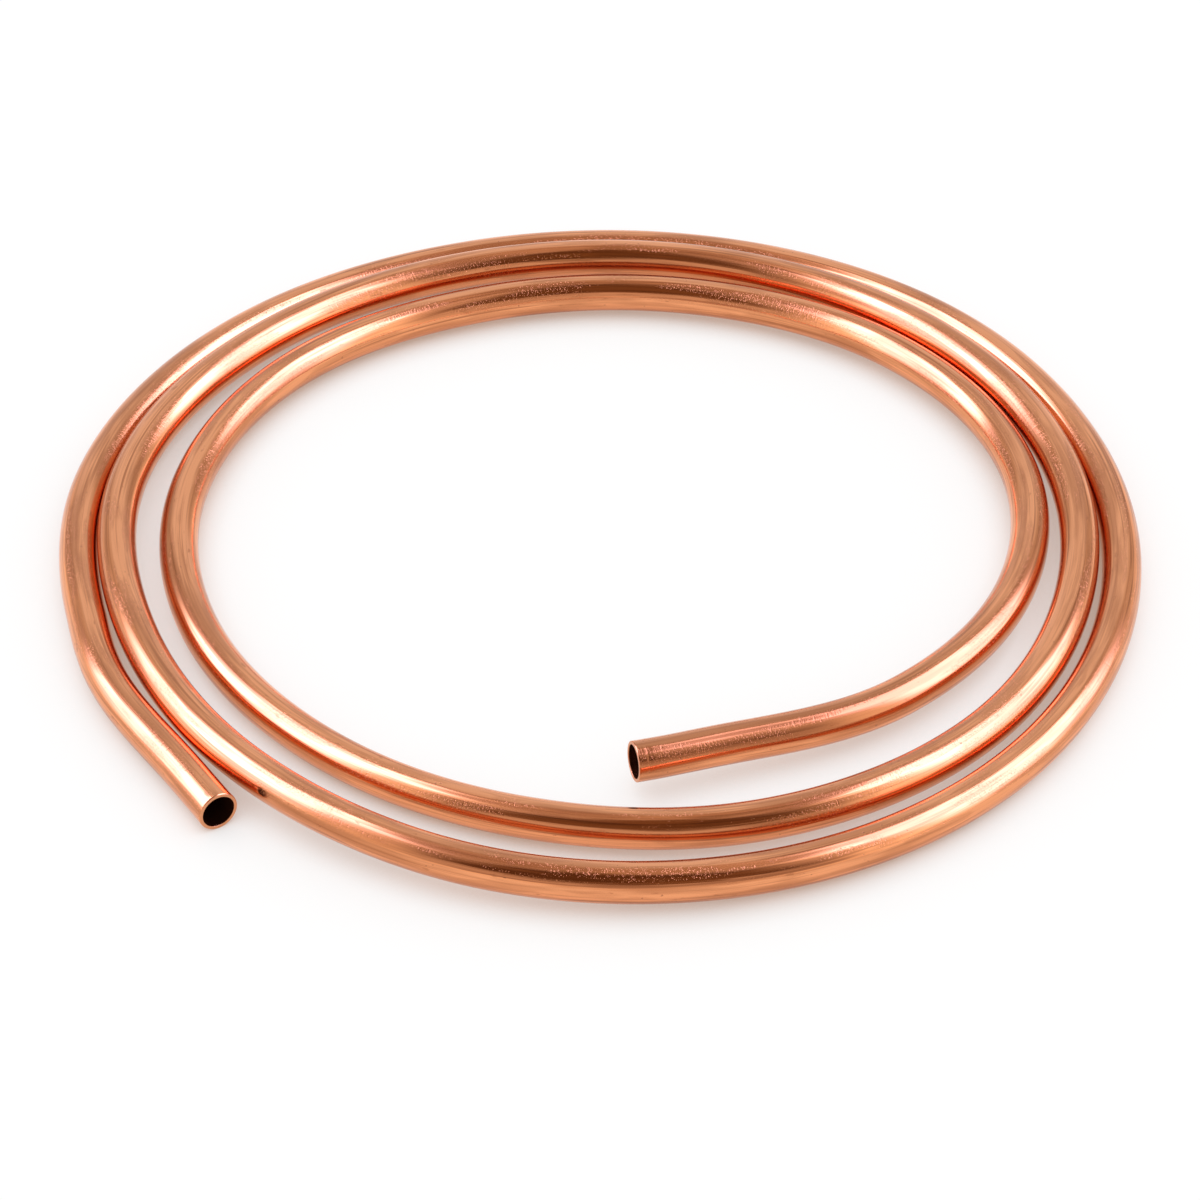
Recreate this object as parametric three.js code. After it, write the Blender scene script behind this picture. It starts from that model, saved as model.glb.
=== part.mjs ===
// A length of soft copper tube, wound by hand into a flat, open coil of almost three turns.
// The tube is one piece: a hollow round section that follows a spiral, with both ends cut square.
// Sizes are in millimetres and +Z is up. The coil lies on z = 0, centred on the origin, with
// its inner end at the front (-Y).
import * as THREE from 'three';

// The section of the tube.
const TUBE_DIAMETER = 15;
const WALL = 1;
const OUTSIDE_SIDES = 24;
const BORE_SIDES = 16;

// The way the tube is wound. It starts at its outer end and turns clockwise, seen from above.
// Bearings are in degrees, clockwise from +X, and angles are counted from the outer end. The
// turns are set out at twelve stations each, and the lifts at every quarter turn.
const OUTER_RADIUS = 205;
const OUTER_END_BEARING = 132;
const WOUND_ANGLE = 1035;
const STATIONS_PER_TURN = 12;
const LIFTS_PER_TURN = 4;
const RINGS_PER_TURN = 56;

// The gap that is left where one turn lies against the next.
const TOUCHING = 0.6;
// How far the centreline of the outer turn lies inside OUTER_RADIUS at each station.
const DRAWN_IN = [-1.5, 5, 0.5, 0.5, 3.5, 4.5, 5.5, 10.5, 13, 12.5, 12, 13.5];
// The clear gap from each station to the turn next inside it.
const TURN_GAP = [
  5.5, 1, TOUCHING, 1.5, TOUCHING, 0.8, 2, TOUCHING, 2, 4, 9.5, 16,
  13.5, 8.6, 8.5, 5, 6, 5, 1.2, 0.9, 7, 18.5, 24.5, 4,
];
// How high the tube is lifted off the floor, where a turn leans on the one outside it, and
// where the inner end springs up.
const LIFT = [0, 0, 0, 0, 4.5, 5, 5, 3, 0.5, 1, 2, 3, 10];
// The outer end is left unbent: it lies along a chord of the winding, and eases into it.
const OUTER_CHORD = 22;
const EASE_START = 5;
const EASE_END = 36;

const COPPER = { name: 'copper', color: 0xc9814f, roughness: 0.28, metalness: 1 };

const FULL_TURN = 360;

// The lift at a number of turns from the outer end, level at every stated value.
function liftAt(turns) {
  const place = turns * LIFTS_PER_TURN;
  const index = Math.min(Math.floor(place), LIFT.length - 2);
  const share = THREE.MathUtils.smoothstep(place - index, 0, 1);
  return THREE.MathUtils.lerp(LIFT[index], LIFT[index + 1], share);
}

// The centreline radius at each station. An inner turn keeps its gap to the turn outside it,
// so where it is lifted to lean on that turn it also comes closer to it in plan.
function stationRadii() {
  const radii = DRAWN_IN.map((inset) => OUTER_RADIUS - inset);
  TURN_GAP.forEach((gap, station) => {
    const turns = station / STATIONS_PER_TURN;
    const rise = liftAt(turns + 1) - liftAt(turns);
    const spacing = Math.sqrt((TUBE_DIAMETER + gap) ** 2 - rise ** 2);
    radii.push(radii[station] - spacing);
  });
  return radii;
}

// A smooth curve through equally spaced values, read at a place counted in stations.
function smoothThrough(values, place) {
  const index = Math.min(Math.floor(place), values.length - 2);
  const start = values[index];
  const end = values[index + 1];
  const before = values[index - 1] ?? 2 * start - end;
  const after = values[index + 2] ?? 2 * end - start;
  const slope = (end - before) / 2;
  const nextSlope = (after - start) / 2;
  const bend = 3 * (end - start) - 2 * slope - nextSlope;
  const twist = 2 * (start - end) + slope + nextSlope;
  const t = place - index;
  return start + t * (slope + t * (bend + t * twist));
}

// The centreline. Its parameter is the share of the wound angle, so that the rings of
// neighbouring turns line up and their facets keep the same gap as the round tube.
class CoilCentreline extends THREE.Curve {
  constructor() {
    super();
    this.radii = stationRadii();
    this.chordStart = this.windingPoint(0);
    this.chordEnd = this.windingPoint(OUTER_CHORD);
  }

  getUtoTmapping(u) {
    return u;
  }

  windingPoint(angle) {
    const turns = angle / FULL_TURN;
    const bearing = THREE.MathUtils.degToRad(OUTER_END_BEARING + angle);
    const radius = smoothThrough(this.radii, turns * STATIONS_PER_TURN);
    const height = TUBE_DIAMETER / 2 + liftAt(turns);
    return new THREE.Vector3(radius * Math.cos(bearing), -radius * Math.sin(bearing), height);
  }

  getPoint(t, target = new THREE.Vector3()) {
    const angle = t * WOUND_ANGLE;
    const wound = THREE.MathUtils.smoothstep(angle, EASE_START, EASE_END);
    target.lerpVectors(this.chordStart, this.chordEnd, angle / OUTER_CHORD);
    return target.lerp(this.windingPoint(angle), wound);
  }
}

// The corners of a round with flat sides.
function roundCorners(radius, sides) {
  return Array.from({ length: sides }, (_, corner) => {
    const angle = (corner / sides) * 2 * Math.PI;
    return new THREE.Vector2(radius * Math.cos(angle), radius * Math.sin(angle));
  });
}

function tubeSection() {
  const section = new THREE.Shape(roundCorners(TUBE_DIAMETER / 2, OUTSIDE_SIDES));
  section.holes.push(new THREE.Path(roundCorners(TUBE_DIAMETER / 2 - WALL, BORE_SIDES)));
  return section;
}

function copperTube() {
  const geometry = new THREE.ExtrudeGeometry(tubeSection(), {
    steps: Math.ceil((WOUND_ANGLE / FULL_TURN) * RINGS_PER_TURN),
    extrudePath: new CoilCentreline(),
  });
  geometry.computeBoundingBox();
  const middle = geometry.boundingBox.getCenter(new THREE.Vector3());
  geometry.translate(-middle.x, -middle.y, -geometry.boundingBox.min.z);
  const mesh = new THREE.Mesh(geometry, new THREE.MeshStandardMaterial(COPPER));
  mesh.name = 'copper_tube';
  return mesh;
}

const coil = new THREE.Group();
coil.name = 'copper_tube_coil';
coil.add(copperTube());

export default coil;
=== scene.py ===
"""A length of soft copper tube, wound by hand into a flat, open coil of almost three turns.

The tube is swept along its winding by Geometry Nodes, with its wall, its two cut ends and the
small marks that the winding left in it. It lies on a plain white floor in soft studio light.
"""

import math

import bpy
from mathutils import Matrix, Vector


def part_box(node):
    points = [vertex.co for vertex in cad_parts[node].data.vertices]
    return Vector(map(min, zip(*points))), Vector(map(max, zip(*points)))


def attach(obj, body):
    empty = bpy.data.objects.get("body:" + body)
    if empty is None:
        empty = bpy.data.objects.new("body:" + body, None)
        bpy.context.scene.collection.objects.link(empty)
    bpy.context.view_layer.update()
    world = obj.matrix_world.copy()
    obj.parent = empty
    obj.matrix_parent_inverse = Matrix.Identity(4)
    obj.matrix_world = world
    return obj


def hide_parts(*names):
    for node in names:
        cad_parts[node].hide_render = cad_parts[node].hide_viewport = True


bl_info = {
    "name": "Copper Tube Coil",
    "version": (1, 0, 0),
    "blender": (4, 5, 0),
    "location": "3D View > Sidebar > Tube Coil",
    "description": "Makes a coil of soft copper tube and the studio it is shown in",
    "category": "Object",
}

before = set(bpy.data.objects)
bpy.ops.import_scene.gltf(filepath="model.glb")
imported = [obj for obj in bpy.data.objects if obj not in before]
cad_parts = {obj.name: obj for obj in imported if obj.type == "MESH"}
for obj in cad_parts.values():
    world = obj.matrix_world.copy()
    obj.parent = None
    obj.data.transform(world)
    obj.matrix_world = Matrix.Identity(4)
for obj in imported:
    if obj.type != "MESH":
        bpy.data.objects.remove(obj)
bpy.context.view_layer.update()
TUBE_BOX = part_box("copper_tube")

MM = 0.001

# The winding, in millimetres. It starts at its outer end and turns clockwise, seen from above.
# Bearings are in degrees, clockwise from +X, and angles are counted from the outer end. The
# turns are set out at twelve stations each, and the lifts at every quarter turn, and a close
# row of points is worked out between them.
TUBE_DIAMETER = 15
WALL = 1
OUTER_RADIUS = 205
OUTER_END_BEARING = 132
WOUND_ANGLE = 1035
STATIONS_PER_TURN = 12
LIFTS_PER_TURN = 4
POINTS_PER_TURN = 480
FULL_TURN = 360

# The gap that is left where one turn lies against the next.
TOUCHING = 0.6
# How far the centreline of the outer turn lies inside OUTER_RADIUS at each station.
DRAWN_IN = [-1.5, 5, 0.5, 0.5, 3.5, 4.5, 5.5, 10.5, 13, 12.5, 12, 13.5]
# The clear gap from each station to the turn next inside it.
TURN_GAP = [
    5.5, 1, TOUCHING, 1.5, TOUCHING, 0.8, 2, TOUCHING, 2, 4, 9.5, 16,
    13.5, 8.6, 8.5, 5, 6, 5, 1.2, 0.9, 7, 18.5, 24.5, 4,
]
# How high the tube is lifted off the floor, where a turn leans on the one outside it, and
# where the inner end springs up.
LIFT = [0, 0, 0, 0, 4.5, 5, 5, 3, 0.5, 1, 2, 3, 10]
# The outer end is left unbent: it lies along a chord of the winding, and eases into it.
OUTER_CHORD = 22
EASE_START = 5
EASE_END = 36

# The room that is left between the round tube and the sides of the coil's box, and how near
# two points of the mesh are when they are made one.
ROOM = 0.01 * MM
MERGED = 0.001 * MM

# The cut ends, as (distance from the end face, depth below the outside) in millimetres. The
# cutter's wheel rounds the outer edge over and rolls the mouth of the bore in a little.
ROLLED_EDGE = [(0, 0.42), (0, 0.34), (0.03, 0.2), (0.11, 0.09), (0.25, 0.03), (0.5, 0)]
ROLLED_MOUTH = [
    (0, 1.08), (0, 1.14), (0.04, 1.22), (0.16, 1.27), (0.5, 1.22), (1, 1.1), (1.8, 1),
]
# Rings that the cutter scored beside the inner end, in the same measures.
SCORED_RINGS = [
    (0.9, 0), (1, 0.01), (1.1, 0), (1.8, 0), (1.9, 0.006), (2, 0),
    (3.6, 0), (3.7, 0.01), (3.8, 0),
]

# How far a dent reaches, as a share of the distance between dents, and how far from a cut end
# the dents and waves begin and are full, in millimetres.
DENT_REACH = 0.22
UNEVEN_START = 6
UNEVEN_FULL = 16

# What the tube's mesh remembers for its finish: the place that each point had while the tube
# was straight, and how far it lies from the nearer cut end.
STRAIGHT = "straight"
FROM_END = "from_end"

# Painted reflection: the inner end is browned on one side, to stand in for the dark ceiling
# that this side mirrors. The side lies this way across the straight tube. The brown begins and
# is full at the first pair of distances from the tube's middle towards that side, and at the
# second pair from the outer end, in millimetres.
PAINTED_REFLECTION_SIDE = (-0.5, 0.866, 0)
PAINTED_REFLECTION_REACH = (5, 6.4)
PAINTED_REFLECTION_ALONG = (3060, 3170)

# The floor reaches this many metres each way, and lies a hair below the tube.
FLOOR_REACH = 8
FLOOR_LEVEL = -0.05 * MM
# The shadow on it leans to the front by this angle, and to the coil's middle by this much
# more for each metre to either side.
SHADOW_TILT = math.radians(15)
SHADOW_TURN = 1.4

# How many degrees a softbox leans back for each one that it rises.
SOFTBOX_LEAN = 0.5

# The camera's sensor, and the place on the floor that it is aimed at, in millimetres.
SENSOR_WIDTH = 36
AIM = (0.3, -29.75)
# How far it sees, in metres.
SIGHT = 100


def to_linear(hex_colour):
    """The linear colour of an sRGB hex value."""
    channels = [int(hex_colour[i:i + 2], 16) / 255 for i in (1, 3, 5)]
    return tuple(c / 12.92 if c <= 0.04045 else ((c + 0.055) / 1.055) ** 2.4 for c in channels)


def add_node(tree, kind, inputs=None, **settings):
    """Add a node. Each input is a value, a socket, or a node whose first output feeds it."""
    node = tree.nodes.new(kind)
    for name, value in settings.items():
        setattr(node, name, value)
    for name, value in (inputs or {}).items():
        if isinstance(value, bpy.types.Node):
            value = value.outputs[0]
        if isinstance(value, bpy.types.NodeSocket):
            tree.links.new(value, node.inputs[name])
        else:
            node.inputs[name].default_value = value
    return node


# ---------------------------------------------------------------------------- the winding

def smooth_step(value, start, end):
    """From 0 at start to 1 at end, level at both."""
    share = min(max((value - start) / (end - start), 0), 1)
    return share * share * (3 - 2 * share)


def lift_at(turns):
    """The lift at a number of turns from the outer end, level at every stated value."""
    place = turns * LIFTS_PER_TURN
    index = min(int(place), len(LIFT) - 2)
    share = smooth_step(place, index, index + 1)
    return LIFT[index] + (LIFT[index + 1] - LIFT[index]) * share


def station_radii():
    """The centreline radius at each station. A turn that leans on its neighbour lies closer."""
    radii = [OUTER_RADIUS - inset for inset in DRAWN_IN]
    for station, gap in enumerate(TURN_GAP):
        turns = station / STATIONS_PER_TURN
        rise = lift_at(turns + 1) - lift_at(turns)
        radii.append(radii[station] - math.sqrt((TUBE_DIAMETER + gap) ** 2 - rise ** 2))
    return radii


def smooth_through(values, place):
    """A smooth curve through equally spaced values, read at a place counted in stations."""
    index = min(int(place), len(values) - 2)
    start, end = values[index], values[index + 1]
    before = values[index - 1] if index > 0 else 2 * start - end
    after = values[index + 2] if index + 2 < len(values) else 2 * end - start
    slope, next_slope = (end - before) / 2, (after - start) / 2
    bend = 3 * (end - start) - 2 * slope - next_slope
    twist = 2 * (start - end) + slope + next_slope
    t = place - index
    return start + t * (slope + t * (bend + t * twist))


def centreline():
    """Points along the middle of the tube, in metres, from the outer end to the inner one."""
    radii = station_radii()

    def winding_point(angle):
        """The place on the bent tube at an angle from its outer end."""
        turns = angle / FULL_TURN
        bearing = math.radians(OUTER_END_BEARING + angle)
        radius = smooth_through(radii, turns * STATIONS_PER_TURN) * MM
        height = (TUBE_DIAMETER / 2 + lift_at(turns)) * MM
        return Vector((radius * math.cos(bearing), -radius * math.sin(bearing), height))

    chord_start, chord_end = winding_point(0), winding_point(OUTER_CHORD)
    count = math.ceil(WOUND_ANGLE / FULL_TURN * POINTS_PER_TURN)
    points = []
    for step in range(count + 1):
        angle = WOUND_ANGLE * step / count
        on_chord = chord_start + (chord_end - chord_start) * (angle / OUTER_CHORD)
        wound = smooth_step(angle, EASE_START, EASE_END)
        points.append(on_chord.lerp(winding_point(angle), wound))
    return points


def inside_box(points, outside_diameter):
    """Centreline points moved and drawn in by a hair, so that the tube just fills its box."""
    low, high = TUBE_BOX
    reach = outside_diameter / 2 + ROOM
    fitted = []
    for axis in (0, 1):
        values = [point[axis] for point in points]
        share = (high[axis] - low[axis] - 2 * reach) / (max(values) - min(values))
        fitted.append([low[axis] + reach + (value - min(values)) * share for value in values])
    return [(x, y, point[2]) for x, y, point in zip(*fitted, points)]


def wall_section(length, sizes):
    """The wall cut lengthwise, as a closed line of (distance along the tube, depth)."""
    def graded(start, end, spacing):
        """Places from start to end, evenly spaced and close to the spacing asked for."""
        count = max(round((end - start) / spacing), 1)
        return [start + (end - start) * step / count for step in range(count + 1)]

    edge = [(along * MM, depth * MM) for along, depth in ROLLED_EDGE]
    mouth = [(along * MM, depth * sizes.wall / WALL) for along, depth in ROLLED_MOUTH]
    scored = [(along * MM, depth * MM) for along, depth in SCORED_RINGS]
    inner_edge = [(length - along, depth) for along, depth in reversed(edge + scored)]
    inner_mouth = [(length - along, depth) for along, depth in mouth]
    outside = graded(edge[-1][0], inner_edge[0][0], sizes.ring_spacing)[1:-1]
    bore = graded(mouth[-1][0], inner_mouth[-1][0], sizes.bore_ring_spacing)[1:-1]
    return (
        edge + [(along, 0) for along in outside] + inner_edge
        + inner_mouth + [(along, sizes.wall) for along in reversed(bore)] + mouth[::-1]
    )


def line_object(name, points, closed):
    """A curve object of one straight-edged line."""
    curve = bpy.data.curves.new(name, "CURVE")
    curve.dimensions = "3D"
    spline = curve.splines.new("POLY")
    spline.points.add(len(points) - 1)
    spline.points.foreach_set("co", [c for x, y, z in points for c in (x, y, z, 1)])
    spline.use_cyclic_u = closed
    line = bpy.data.objects.new(name, curve)
    bpy.context.collection.objects.link(line)
    return line


# ------------------------------------------------------------------- the tube's own tree

def unevenness(tree, given, place, from_end):
    """How deep soft waves and shallow dents sink each point, with none at the cut ends."""
    per_wave = add_node(
        tree, "ShaderNodeMath", {0: 1, 1: given["Wave Length"]}, operation="DIVIDE"
    )
    waves = add_node(
        tree, "ShaderNodeTexNoise",
        {"Vector": place, "W": given["Seed"], "Scale": per_wave, "Detail": 1},
        noise_dimensions="4D",
    )
    waves = add_node(
        tree, "ShaderNodeMath", {0: waves, 1: given["Waviness"]}, operation="MULTIPLY"
    )
    per_dent = add_node(
        tree, "ShaderNodeMath", {0: 1, 1: given["Dent Spacing"]}, operation="DIVIDE"
    )
    dents = add_node(
        tree, "ShaderNodeTexVoronoi",
        {"Vector": place, "W": given["Seed"], "Scale": per_dent}, voronoi_dimensions="4D",
    )
    dents = add_node(
        tree, "ShaderNodeMapRange",
        {"Value": dents.outputs["Distance"], "From Max": DENT_REACH, "To Min": 1, "To Max": 0},
        interpolation_type="SMOOTHSTEP",
    )
    sunk = add_node(
        tree, "ShaderNodeMath", {0: dents, 1: given["Dent Depth"], 2: waves},
        operation="MULTIPLY_ADD",
    )
    clear = add_node(
        tree, "ShaderNodeMapRange",
        {"Value": from_end, "From Min": UNEVEN_START * MM, "From Max": UNEVEN_FULL * MM},
        interpolation_type="SMOOTHSTEP",
    )
    return add_node(tree, "ShaderNodeMath", {0: sunk, 1: clear}, operation="MULTIPLY")


def bent_place(tree, route, across, up, along):
    """Where a point of the straight tube comes to lie on the winding."""
    sample = add_node(
        tree, "GeometryNodeSampleCurve", {"Curves": route, "Length": along}, mode="LENGTH"
    ).outputs
    upwards = add_node(
        tree, "ShaderNodeVectorMath", {0: sample["Normal"], 1: sample["Tangent"]},
        operation="CROSS_PRODUCT",
    )
    bent = sample["Position"]
    for direction, reach in ((sample["Normal"], across), (upwards, up)):
        bent = add_node(
            tree, "ShaderNodeVectorMath", {0: direction, 1: reach, 2: bent},
            operation="MULTIPLY_ADD",
        )
    return bent


def tube_tree():
    """Geometry nodes that revolve the wall's section, mark it and bend it along the winding."""
    tree = bpy.data.node_groups.new("wound_tube", "GeometryNodeTree")
    tree.interface.new_socket("Tube", in_out="OUTPUT", socket_type="NodeSocketGeometry")
    for name, kind in (
        ("Geometry", "Geometry"), ("Centreline", "Object"), ("Wall Section", "Object"),
        ("Diameter", "Float"), ("Sides", "Int"), ("Flattening", "Float"),
        ("Waviness", "Float"), ("Wave Length", "Float"), ("Dent Depth", "Float"),
        ("Dent Spacing", "Float"), ("Seed", "Int"), ("Material", "Material"),
    ):
        tree.interface.new_socket(name, in_out="INPUT", socket_type="NodeSocket" + kind)
    given = tree.nodes.new("NodeGroupInput").outputs

    # The straight tube: the wall's section turned round the middle of the tube, along Z.
    section = add_node(tree, "GeometryNodeObjectInfo", {"Object": given["Wall Section"]})
    radius = add_node(
        tree, "ShaderNodeMath", {0: given["Diameter"], 1: 0.5}, operation="MULTIPLY"
    )
    round_line = add_node(
        tree, "GeometryNodeCurvePrimitiveCircle", {"Resolution": given["Sides"], "Radius": radius}
    )
    tube = add_node(
        tree, "GeometryNodeCurveToMesh",
        {"Curve": round_line, "Profile Curve": section.outputs["Geometry"]},
    )

    # Where each point lies on it, and how far that is from the nearer cut end.
    place = add_node(tree, "GeometryNodeInputPosition")
    split = add_node(tree, "ShaderNodeSeparateXYZ", {0: place}).outputs
    route = add_node(tree, "GeometryNodeObjectInfo", {"Object": given["Centreline"]})
    route = add_node(
        tree, "GeometryNodeSetCurveNormal", {"Curve": route.outputs["Geometry"]}, mode="Z_UP"
    )
    length = add_node(tree, "GeometryNodeCurveLength", {"Curve": route})
    to_end = add_node(tree, "ShaderNodeMath", {0: length, 1: split["Z"]}, operation="SUBTRACT")
    from_end = add_node(tree, "ShaderNodeMath", {0: split["Z"], 1: to_end}, operation="MINIMUM")
    for name, value, kind in (
        (STRAIGHT, place, "FLOAT_VECTOR"), (FROM_END, from_end, "FLOAT")
    ):
        tube = add_node(
            tree, "GeometryNodeStoreNamedAttribute",
            {"Geometry": tube, "Name": name, "Value": value}, data_type=kind, domain="POINT",
        )

    # Waves and dents press it towards its middle.
    across = add_node(tree, "ShaderNodeCombineXYZ", {"X": split["X"], "Y": split["Y"]})
    outwards = add_node(tree, "ShaderNodeVectorMath", {0: across}, operation="NORMALIZE")
    pressed = add_node(
        tree, "ShaderNodeVectorMath",
        {0: outwards, "Scale": unevenness(tree, given, place, from_end)}, operation="SCALE",
    )
    across = add_node(
        tree, "ShaderNodeVectorMath", {0: across, 1: pressed}, operation="SUBTRACT"
    )
    across = add_node(tree, "ShaderNodeSeparateXYZ", {0: across}).outputs

    # The bend narrows it: X goes across the winding, Y up, and Z along the centreline.
    narrowed = add_node(
        tree, "ShaderNodeMath", {0: 1, 1: given["Flattening"]}, operation="SUBTRACT"
    )
    narrowed = add_node(
        tree, "ShaderNodeMath", {0: narrowed, 1: across["X"]}, operation="MULTIPLY"
    )
    bent = bent_place(tree, route, narrowed, across["Y"], split["Z"])
    tube = add_node(tree, "GeometryNodeSetPosition", {"Geometry": tube, "Position": bent})
    tube = add_node(tree, "GeometryNodeMergeByDistance", {"Geometry": tube, "Distance": MERGED})
    tube = add_node(tree, "GeometryNodeSetShadeSmooth", {"Geometry": tube})
    tube = add_node(tree, "GeometryNodeRealizeInstances", {"Geometry": tube})
    tube = add_node(
        tree, "GeometryNodeSetMaterial", {"Geometry": tube, "Material": given["Material"]}
    )
    add_node(tree, "NodeGroupOutput", {"Tube": tube})
    return tree


def copper_tube(sizes, material):
    """The coil, swept by its tree and turned into a plain mesh."""
    route = inside_box(centreline(), sizes.diameter)
    length = sum(math.dist(a, b) for a, b in zip(route, route[1:]))
    # The tree turns the line's -X towards the middle of the tube and its -Y along the tube.
    section = [(-depth, -along, 0) for along, depth in wall_section(length, sizes)]
    lines = {
        "Centreline": line_object("centreline", route, closed=False),
        "Wall Section": line_object("wall_section", section, closed=True),
    }
    piece = bpy.data.objects.new("wound_copper_tube", bpy.data.meshes.new("wound_copper_tube"))
    bpy.context.collection.objects.link(piece)
    sweep = piece.modifiers.new("wound_tube", "NODES")
    sweep.node_group = tube_tree()
    values = {
        **lines, "Diameter": sizes.diameter, "Sides": sizes.sides,
        "Flattening": sizes.flattening, "Waviness": sizes.waviness,
        "Wave Length": sizes.wave_length, "Dent Depth": sizes.dent_depth,
        "Dent Spacing": sizes.dent_spacing, "Seed": sizes.seed, "Material": material,
    }
    for socket in sweep.node_group.interface.items_tree:
        if socket.name in values:
            sweep[socket.identifier] = values[socket.name]
    graph = bpy.context.evaluated_depsgraph_get()
    mesh = bpy.data.meshes.new_from_object(
        piece.evaluated_get(graph), preserve_all_data_layers=True, depsgraph=graph
    )
    piece.modifiers.remove(sweep)
    blank, piece.data = piece.data, mesh
    bpy.data.meshes.remove(blank)
    mesh.name = piece.name
    for line in lines.values():
        bpy.data.objects.remove(line)
    if not mesh.polygons:
        raise RuntimeError("the tube's tree made no faces")
    return piece


# --------------------------------------------------------------------------- the finishes

def copper_marks(tree):
    """The marks' noises and distances by name, and how far each mark shows, from 0 to 1."""
    # Each noise's size in millimetres, across the tube and along it, and its detail.
    place = add_node(tree, "ShaderNodeAttribute", attribute_name=STRAIGHT).outputs["Vector"]
    marks = {}
    for name, across, along, detail in (
        ("lines", 0.7, 50, 2), ("streaks", 1.8, 90, 2), ("swells", 5, 45, 1),
        ("film", 4.5, 55, 3), ("patches", 4, 34, 2), ("ticks", 0.7, 0.5, 1),
        ("chatter", 4, 0.9, 1), ("pits", 1, 1.2, 0), ("scuffs", 2.6, 7, 3),
    ):
        cells = (1 / (across * MM), 1 / (across * MM), 1 / (along * MM))
        spread = add_node(
            tree, "ShaderNodeVectorMath", {0: place, 1: cells}, operation="MULTIPLY"
        )
        marks[name] = add_node(
            tree, "ShaderNodeTexNoise", {"Vector": spread, "Scale": 1, "Detail": detail}
        )

    # Distances: from the tube's middle, from there towards the painted reflection's side, and
    # along the tube.
    flat = add_node(tree, "ShaderNodeVectorMath", {0: place, 1: (1, 1, 0)}, operation="MULTIPLY")
    marks["radius"] = add_node(
        tree, "ShaderNodeVectorMath", {0: flat}, operation="LENGTH"
    ).outputs["Value"]
    marks["painted_reflection_side"] = add_node(
        tree, "ShaderNodeVectorMath", {0: place, 1: PAINTED_REFLECTION_SIDE}, operation="DOT_PRODUCT"
    ).outputs["Value"]
    marks["along"] = add_node(tree, "ShaderNodeSeparateXYZ", {0: place}).outputs["Z"]
    marks["from_end"] = add_node(
        tree, "ShaderNodeAttribute", attribute_name=FROM_END
    ).outputs["Fac"]

    # Where each of them starts to show and where it shows in full: a value of its noise, or
    # for the last six a distance in millimetres.
    bore_radius = TUBE_DIAMETER / 2 - WALL
    shown = {}
    for name, source, start, full, unit in (
        ("lined", "lines", 0.48, 0.68, 1), ("filmed", "film", 0.44, 0.66, 1),
        ("patched", "patches", 0.48, 0.58, 1), ("streaked", "streaks", 0.58, 0.68, 1),
        ("ticked", "ticks", 0.59, 0.67, 1), ("chattered", "chatter", 0.55, 0.68, 1),
        ("pitted", "pits", 0.84, 0.88, 1), ("scuffed", "scuffs", 0.66, 0.74, 1),
        # The painted reflection: one side of the inner end is browned, standing in for the dark
        # ceiling that it mirrors.
        ("painted_dark_reflection", "painted_reflection_side", *PAINTED_REFLECTION_REACH, MM), ("painted_reflection_end", "along", *PAINTED_REFLECTION_ALONG, MM),
        ("bored", "radius", bore_radius + 0.12, bore_radius, MM),
        ("sunk_in", "from_end", 0.05, 0.35, MM), ("fresh", "from_end", 0.25, 0.1, MM),
        ("drawn", "from_end", 0.15, 0.6, MM),
    ):
        shown[name] = add_node(
            tree, "ShaderNodeMapRange",
            {"Value": marks[source], "From Min": start * unit, "From Max": full * unit},
            interpolation_type="SMOOTHSTEP",
        )

    # Some show only where another does.
    for name, first, second in (
        ("ticked", "ticked", "patched"), ("chattered", "chattered", "patched"),
        ("inside", "bored", "sunk_in"), ("painted_dark_reflection", "painted_dark_reflection", "painted_reflection_end"),
    ):
        shown[name] = add_node(
            tree, "ShaderNodeMath", {0: shown[first], 1: shown[second]}, operation="MULTIPLY"
        )
    return marks, shown


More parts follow.
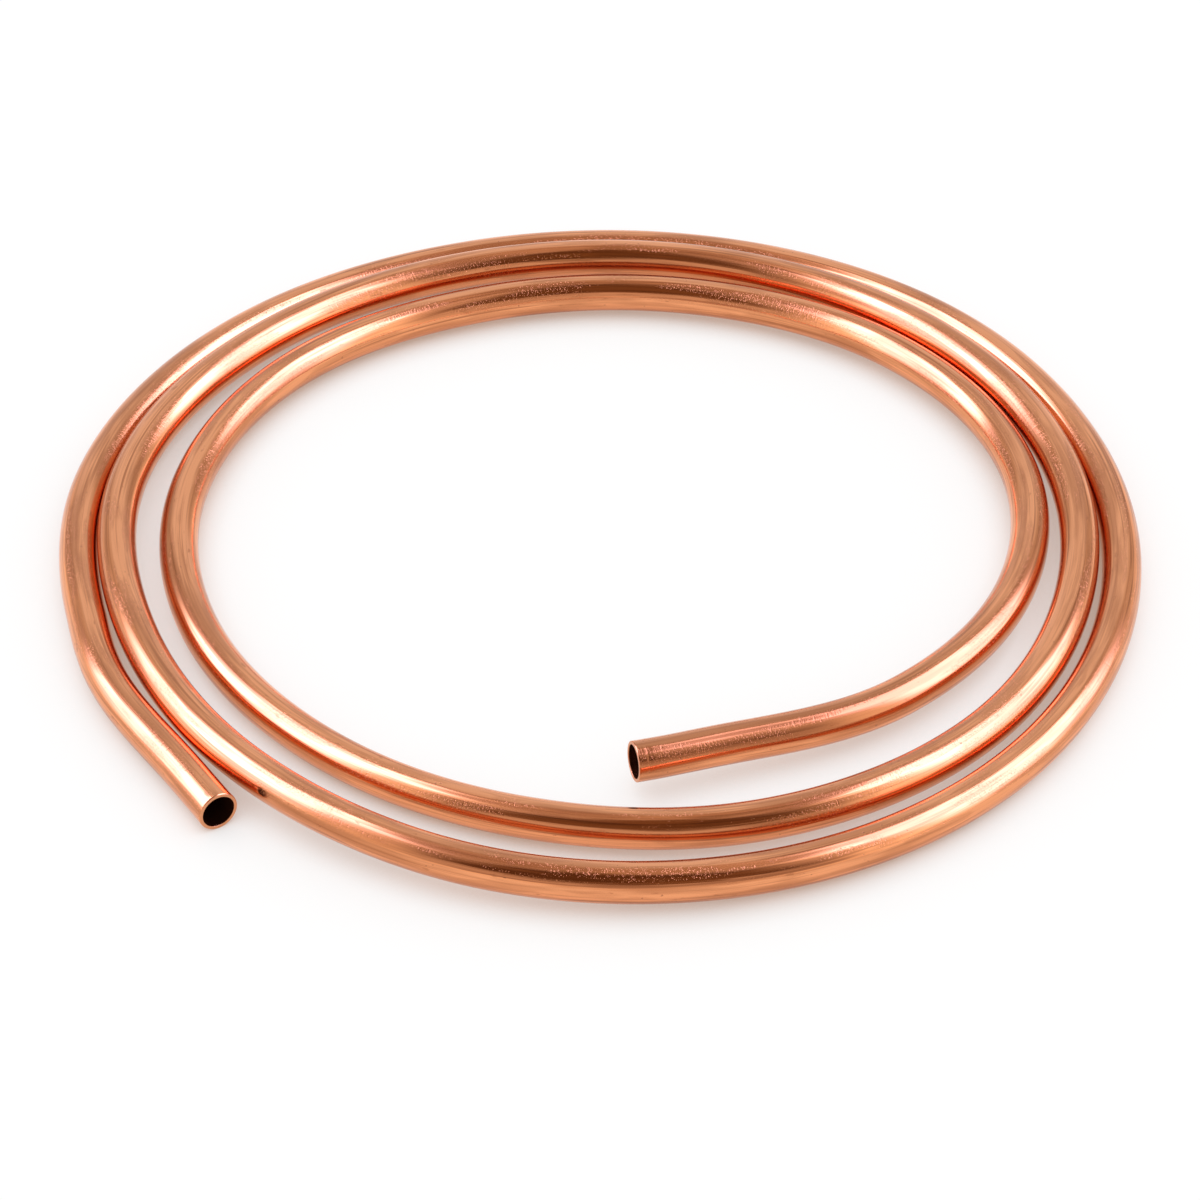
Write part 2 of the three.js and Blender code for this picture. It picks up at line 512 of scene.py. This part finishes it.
def drawn_copper(look):
    """Soft copper, drawn and annealed: a bright, warm metal that mirrors its surroundings a
    little softly. The drawing die leaves fine lines along it, the bending leaves small marks
    across it, and handling leaves pits and a thin, uneven brown film where it has tarnished.
    One side of the inner end is browned as a painted reflection of the dark ceiling that it
    mirrors there. The draw lines are drawn several times coarser than they are, so that they
    show."""
    material = bpy.data.materials.new("drawn_annealed_copper")
    material.use_nodes = True
    tree = material.node_tree
    tree.nodes.clear()
    marks, shown = copper_marks(tree)

    # The colour: bright copper, filmed over, with a painted dark reflection on the inner end,
    # dull and dark inside, and fresh where it was cut. Each mark lays its colour over the others
    # by this amount.
    colour = (*look.copper, 1)
    for name, amount, over in (
        ("filmed", 0.55, look.tarnish_and_painted_reflection), ("lined", 0.4, look.tarnish_and_painted_reflection),
        ("streaked", 0.75, look.tarnish_and_painted_reflection), ("patched", 0.3, look.tarnish_and_painted_reflection),
        # The painted reflection is laid over in the same brown as the tarnished marks.
        ("painted_dark_reflection", 0.65, look.tarnish_and_painted_reflection), ("scuffed", 0.5, look.tarnish_and_painted_reflection),
        ("pitted", 0.5, look.bore), ("inside", 1, look.bore), ("fresh", 1, look.cut),
    ):
        share = add_node(
            tree, "ShaderNodeMath", {0: shown[name], 1: amount}, operation="MULTIPLY"
        )
        colour = add_node(
            tree, "ShaderNodeMix", {0: share, 6: colour, 7: (*over, 1)}, data_type="RGBA"
        ).outputs[2]

    # Sums of the marks: what each adds to the roughness, and how high it stands in millimetres.
    # There is no relief beside the cut ends.
    roughness, relief = look.roughness, 0
    for source, rougher, height in (
        (marks["lines"], 0.06, 0.022), (marks["streaks"], 0, 0.07), (marks["swells"], 0, 0.1),
        (marks["film"], 0.05, 0), (shown["filmed"], 0.03, 0), (shown["ticked"], 0, -0.026),
        (shown["chattered"], 0, -0.012), (shown["pitted"], 0, -0.03),
        (shown["scuffed"], 0.1, -0.004), (shown["inside"], 0.3, 0), (shown["fresh"], 0.22, 0),
    ):
        if rougher:
            roughness = add_node(
                tree, "ShaderNodeMath", {0: source, 1: rougher, 2: roughness},
                operation="MULTIPLY_ADD",
            )
        if height:
            relief = add_node(
                tree, "ShaderNodeMath", {0: source, 1: height, 2: relief},
                operation="MULTIPLY_ADD",
            )
    relief = add_node(
        tree, "ShaderNodeMath", {0: relief, 1: shown["drawn"]}, operation="MULTIPLY"
    )
    bump = add_node(tree, "ShaderNodeBump", {"Distance": MM, "Height": relief})
    shader = add_node(
        tree, "ShaderNodeBsdfPrincipled",
        {"Base Color": colour, "Metallic": 1, "Roughness": roughness, "Normal": bump},
    )
    add_node(tree, "ShaderNodeOutputMaterial", {"Surface": shader})
    return material


def lit_table(look):
    """A matt white acrylic sheet that is lit from beneath. It glows evenly, but for a thin
    warm shadow close beside the copper, and takes the rest of its white from the studio."""
    material = bpy.data.materials.new("white_acrylic_lit_from_beneath")
    material.use_nodes = True
    tree = material.node_tree
    tree.nodes.clear()
    # The shadow is deepest in front of what lies on the table and on the side towards its
    # middle. Its square is taken, so that it fades fast away from the copper.
    place = add_node(tree, "ShaderNodeTexCoord").outputs["Object"]
    side = add_node(tree, "ShaderNodeSeparateXYZ", {0: place}).outputs["X"]
    turn = add_node(tree, "ShaderNodeMath", {0: side, 1: SHADOW_TURN}, operation="MULTIPLY")
    tilt = add_node(
        tree, "ShaderNodeCombineXYZ",
        {"X": turn, "Y": math.sin(SHADOW_TILT), "Z": math.cos(SHADOW_TILT)},
    )
    clear = add_node(
        tree, "ShaderNodeAmbientOcclusion",
        {"Distance": look.shadow_reach, "Normal": tilt}, samples=8,
    ).outputs["AO"]
    covered = add_node(tree, "ShaderNodeMath", {0: 1, 1: clear}, operation="SUBTRACT")
    covered = add_node(tree, "ShaderNodeMath", {0: covered, 1: 2}, operation="POWER")
    glow = add_node(
        tree, "ShaderNodeMix", {0: covered, 6: (1, 1, 1, 1), 7: (*look.table_shadow, 1)},
        data_type="RGBA",
    ).outputs[2]
    shader = add_node(
        tree, "ShaderNodeBsdfPrincipled",
        {
            "Base Color": (*look.table, 1), "Roughness": 1, "Specular IOR Level": 0,
            "Emission Color": glow, "Emission Strength": look.table_glow,
        },
    )
    add_node(tree, "ShaderNodeOutputMaterial", {"Surface": shader})
    return material


def soft_studio(look):
    """A room that is white low down and has a dark ceiling over the front, and on each side a
    tall softbox with a brighter middle. It is seen directly and in the metal, while plain, even
    white lights the rest."""
    world = bpy.data.worlds.new("soft_studio")
    world.use_nodes = True
    tree = world.node_tree
    tree.nodes.clear()
    heading = add_node(tree, "ShaderNodeTexCoord").outputs["Generated"]
    x, y, z = add_node(tree, "ShaderNodeSeparateXYZ", {0: heading}).outputs
    sideways = add_node(tree, "ShaderNodeMath", {0: x}, operation="ABSOLUTE")
    # Angles turned towards the back from due right or left, raised above the horizon, and
    # turned from the softboxes' slanting sides.
    turned = add_node(tree, "ShaderNodeMath", {0: y, 1: sideways}, operation="ARCTAN2")
    raised = add_node(tree, "ShaderNodeMath", {0: z}, operation="ARCSINE")
    leaned = add_node(
        tree, "ShaderNodeMath", {0: raised, 1: -SOFTBOX_LEAN, 2: turned},
        operation="MULTIPLY_ADD",
    )

    # Each area's edges in degrees, as (which angle, middle of the edge, width of its blur, 1
    # where the area lies above it or -1 below).
    studio = (*look.wall, 1)
    for area, edges in (
        ("side_wall", ((turned, 5, 40, 1),)),
        ("back_wall", ((turned, 60, 14, 1),)),
        ("ceiling", ((turned, -46, 20, -1), (raised, 31, 5, 1))),
        ("zenith", ((turned, -22, 26, 1), (raised, 60, 14, 1))),
        ("horizon", ((raised, 6, 14, -1),)),
        ("softbox", (
            (turned, -42, 16, 1), (leaned, -56, 16, 1), (leaned, 25, 16, -1),
            (raised, -1, 12, 1), (raised, 68, 5, -1),
        )),
        ("lamp", (
            (turned, -19, 20, 1), (leaned, -46, 12, 1), (leaned, 20, 14, -1),
            (raised, 12, 34, 1), (raised, 66, 6, -1),
        )),
    ):
        share = 1
        for angle, middle, blur, way in edges:
            edge = add_node(
                tree, "ShaderNodeMapRange",
                {
                    "Value": angle, "From Min": math.radians(middle - way * blur / 2),
                    "From Max": math.radians(middle + way * blur / 2),
                },
                interpolation_type="SMOOTHSTEP",
            )
            share = add_node(tree, "ShaderNodeMath", {0: edge, 1: share}, operation="MULTIPLY")
        studio = add_node(
            tree, "ShaderNodeMix", {0: share, 6: studio, 7: (*getattr(look, area), 1)},
            data_type="RGBA",
        ).outputs[2]
    path = add_node(tree, "ShaderNodeLightPath").outputs
    seen = path["Is Camera Ray"]
    for kind in ("Is Glossy Ray", "Is Transmission Ray"):
        seen = add_node(tree, "ShaderNodeMath", {0: seen, 1: path[kind]}, operation="MAXIMUM")
    colour = add_node(
        tree, "ShaderNodeMix", {0: seen, 6: (*look.plain, 1), 7: studio}, data_type="RGBA"
    ).outputs[2]
    light = add_node(tree, "ShaderNodeBackground", {"Color": colour})
    add_node(tree, "ShaderNodeOutputWorld", {"Surface": light})
    return world


# ---------------------------------------------------------------- the floor and the camera

def flat_floor(material):
    """The level sheet that the coil lies on."""
    mesh = bpy.data.meshes.new("floor")
    corners = [
        (x * FLOOR_REACH, y * FLOOR_REACH, FLOOR_LEVEL)
        for x, y in ((-1, -1), (1, -1), (1, 1), (-1, 1))
    ]
    mesh.from_pydata(corners, [], [(0, 1, 2, 3)])
    mesh.materials.append(material)
    floor = bpy.data.objects.new("floor", mesh)
    bpy.context.collection.objects.link(floor)
    return floor


def front_camera(look):
    """A camera in front of the coil, which looks down at AIM."""
    camera = bpy.data.objects.new("camera", bpy.data.cameras.new("camera"))
    camera.data.lens = look.lens
    camera.data.sensor_width = SENSOR_WIDTH
    camera.data.clip_end = SIGHT
    camera.location = (
        AIM[0] * MM,
        AIM[1] * MM - look.distance * math.cos(look.elevation),
        look.distance * math.sin(look.elevation),
    )
    camera.rotation_euler = (math.pi / 2 - look.elevation, 0, 0)
    bpy.context.collection.objects.link(camera)
    return camera


# -------------------------------------------------------------------------- the add-on

def length_property(name, description, millimetres):
    """A length that can be set, with its usual value in millimetres."""
    return bpy.props.FloatProperty(
        name=name, description=description, default=millimetres * MM, min=0,
        subtype="DISTANCE", unit="LENGTH", precision=5,
    )


def colour_property(name, description, hex_colour, strength=1):
    """A colour that can be set. A light's colour is multiplied by its strength."""
    return bpy.props.FloatVectorProperty(
        name=name, description=description, subtype="COLOR", min=0, soft_max=1,
        default=tuple(c * strength for c in to_linear(hex_colour)),
    )


class CoilSizes(bpy.types.PropertyGroup):
    """The tube's sizes, how finely it is built, and how uneven the winding has left it."""

    diameter: length_property("Diameter", "Outside diameter of the tube", TUBE_DIAMETER)
    wall: length_property("Wall", "Thickness of the tube's wall", WALL)
    ring_spacing: length_property("Ring Spacing", "Distance between rings of the outside", 2.5)
    bore_ring_spacing: length_property(
        "Bore Ring Spacing", "Distance between rings of the bore", 10
    )
    sides: bpy.props.IntProperty(
        name="Sides", description="Faces round the tube", default=48, min=12, max=96
    )
    flattening: bpy.props.FloatProperty(
        name="Flattening", description="How much narrower the bending has made the tube",
        default=0.006, min=0, max=0.1, subtype="FACTOR",
    )
    waviness: length_property("Waviness", "Depth of the soft waves in the tube's outside", 0.08)
    wave_length: length_property("Wave Length", "Size of those waves", 22)
    dent_depth: length_property("Dent Depth", "Depth of the shallow dents", 0.1)
    dent_spacing: length_property("Dent Spacing", "Distance between dents", 26)
    seed: bpy.props.IntProperty(
        name="Seed", description="Changes where the waves and dents fall", default=4
    )


class CopperLook(bpy.types.PropertyGroup):
    """The copper's colours, and how sharply it mirrors."""

    copper: colour_property("Copper", "Bright drawn copper", "#F1A06F")
    # This brown colours the tarnished marks and also the painted reflection on the inner end.
    tarnish_and_painted_reflection: colour_property("Tarnish", "Copper under its brown film", "#B06C46")
    # The bore's colour: a darker, duller brown for the inside of the tube, and for the pits.
    bore: colour_property("Bore", "The dull film inside the tube", "#74422C")
    cut: colour_property("Cut", "Freshly cut copper", "#DC966C")
    roughness: bpy.props.FloatProperty(
        name="Roughness", description="Softness of what the copper mirrors",
        default=0.09, min=0.03, max=1, subtype="FACTOR",
    )


class StudioLook(bpy.types.PropertyGroup):
    """The table, the studio's areas from the room to the lamps, and the camera."""

    table: colour_property("Table", "The table that the coil lies on", "#ABABAB")
    table_shadow: colour_property("Table Shadow", "Its glow where it is covered", "#A67C52")
    shadow_reach: length_property("Shadow Reach", "How far that shadow spreads", 13)
    table_glow: bpy.props.FloatProperty(
        name="Table Glow", description="How brightly the table is lit from beneath",
        default=0.61, min=0, max=1, subtype="FACTOR",
    )
    plain: colour_property("Plain", "The even light that falls on the table", "#FFFFFF")
    wall: colour_property("Wall", "The room above the horizon, at the front", "#D5CBC5")
    side_wall: colour_property("Side Wall", "The room beside the softboxes", "#C6C2BD")
    back_wall: colour_property("Back Wall", "The room above the horizon, at the back", "#EBF4FF")
    ceiling: colour_property("Ceiling", "The dark ceiling over the front", "#74573B")
    zenith: colour_property("Zenith", "The ceiling straight above", "#C3B3A6")
    horizon: colour_property("Horizon", "The white low down all round", "#FFF9F2", 1.1)
    softbox: colour_property("Softbox", "The cloth of the two softboxes", "#FFFBF4", 1.35)
    lamp: colour_property("Lamp", "The softboxes' brighter middles", "#CACAFF", 7.1)
    elevation: bpy.props.FloatProperty(
        name="Elevation", description="Angle of the camera above the floor",
        default=math.radians(38.73), subtype="ANGLE", unit="ROTATION",
    )
    distance: length_property("Distance", "From the camera to what it is aimed at", 1510.95)
    lens: bpy.props.FloatProperty(
        name="Lens", description="Focal length of the camera in millimetres", default=120.66
    )


class COIL_OT_add_tube(bpy.types.Operator):
    """Wind the copper tube and give it its finish"""

    bl_idname = "tube_coil.add_tube"
    bl_label = "Copper Tube"

    def execute(self, context):
        material = drawn_copper(context.scene.coil_copper)
        piece = copper_tube(context.scene.coil_sizes, material)
        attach(piece, "root")
        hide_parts("copper_tube")
        return {"FINISHED"}


class COIL_OT_add_stage(bpy.types.Operator):
    """Lay the white floor, light it and set up the camera"""

    bl_idname = "tube_coil.add_stage"
    bl_label = "Studio"

    def execute(self, context):
        scene = context.scene
        floor = flat_floor(lit_table(scene.coil_studio))
        scene.world = soft_studio(scene.coil_studio)
        scene.view_settings.view_transform = "Standard"
        scene.camera = front_camera(scene.coil_studio)
        return {"FINISHED"}


class COIL_PT_panel(bpy.types.Panel):
    """The coil's sizes, its finish and its studio"""

    bl_idname = "COIL_PT_panel"
    bl_label = "Copper Tube Coil"
    bl_space_type = "VIEW_3D"
    bl_region_type = "UI"
    bl_category = "Tube Coil"

    def draw(self, context):
        for group_name, group in GROUPS.items():
            for name in group.__annotations__:
                self.layout.prop(getattr(context.scene, group_name), name)
        for operator in (COIL_OT_add_tube, COIL_OT_add_stage):
            self.layout.operator(operator.bl_idname)


CLASSES = (
    CoilSizes, CopperLook, StudioLook, COIL_OT_add_tube, COIL_OT_add_stage, COIL_PT_panel
)
GROUPS = {"coil_sizes": CoilSizes, "coil_copper": CopperLook, "coil_studio": StudioLook}


def register():
    for cls in CLASSES:
        bpy.utils.register_class(cls)
    for name, group in GROUPS.items():
        setattr(bpy.types.Scene, name, bpy.props.PointerProperty(type=group))


def unregister():
    for name in GROUPS:
        delattr(bpy.types.Scene, name)
    for cls in reversed(CLASSES):
        bpy.utils.unregister_class(cls)


def main():
    register()
    bpy.ops.tube_coil.add_tube()
    bpy.ops.tube_coil.add_stage()


if __name__ == "__main__":
    main()
